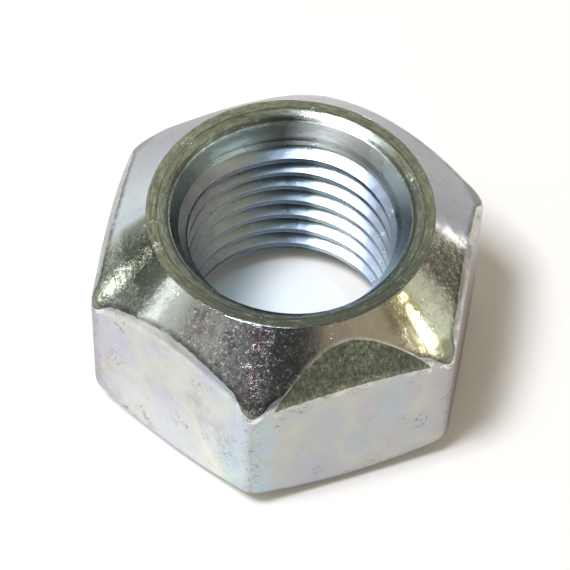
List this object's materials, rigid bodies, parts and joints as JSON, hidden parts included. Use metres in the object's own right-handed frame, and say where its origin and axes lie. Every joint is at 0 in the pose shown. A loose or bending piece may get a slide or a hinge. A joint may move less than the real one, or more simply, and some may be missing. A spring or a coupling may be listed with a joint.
{
  "type": "lock nut",
  "caption": "All-metal prevailing-torque hexagon lock nut: forged crown with a rolled lip, crimped over two opposite flats so that its top threads grip the bolt.",
  "frame": {"origin": "centre of the bearing face, on the thread's axis", "axes": "+Z along the thread, from the bearing face to the crimped crown; two flats face +Y and -Y"},
  "size_m": [0.0216, 0.019, 0.0115],
  "materials": {
    "zinc_plated_steel": "zinc plating, passivated, silver with a faint green-yellow and lavender tint, burnished dark on the crown"
  },
  "bodies": {
    "root": {"lock_nut": "zinc_plated_steel"}
  },
  "joints": []
}
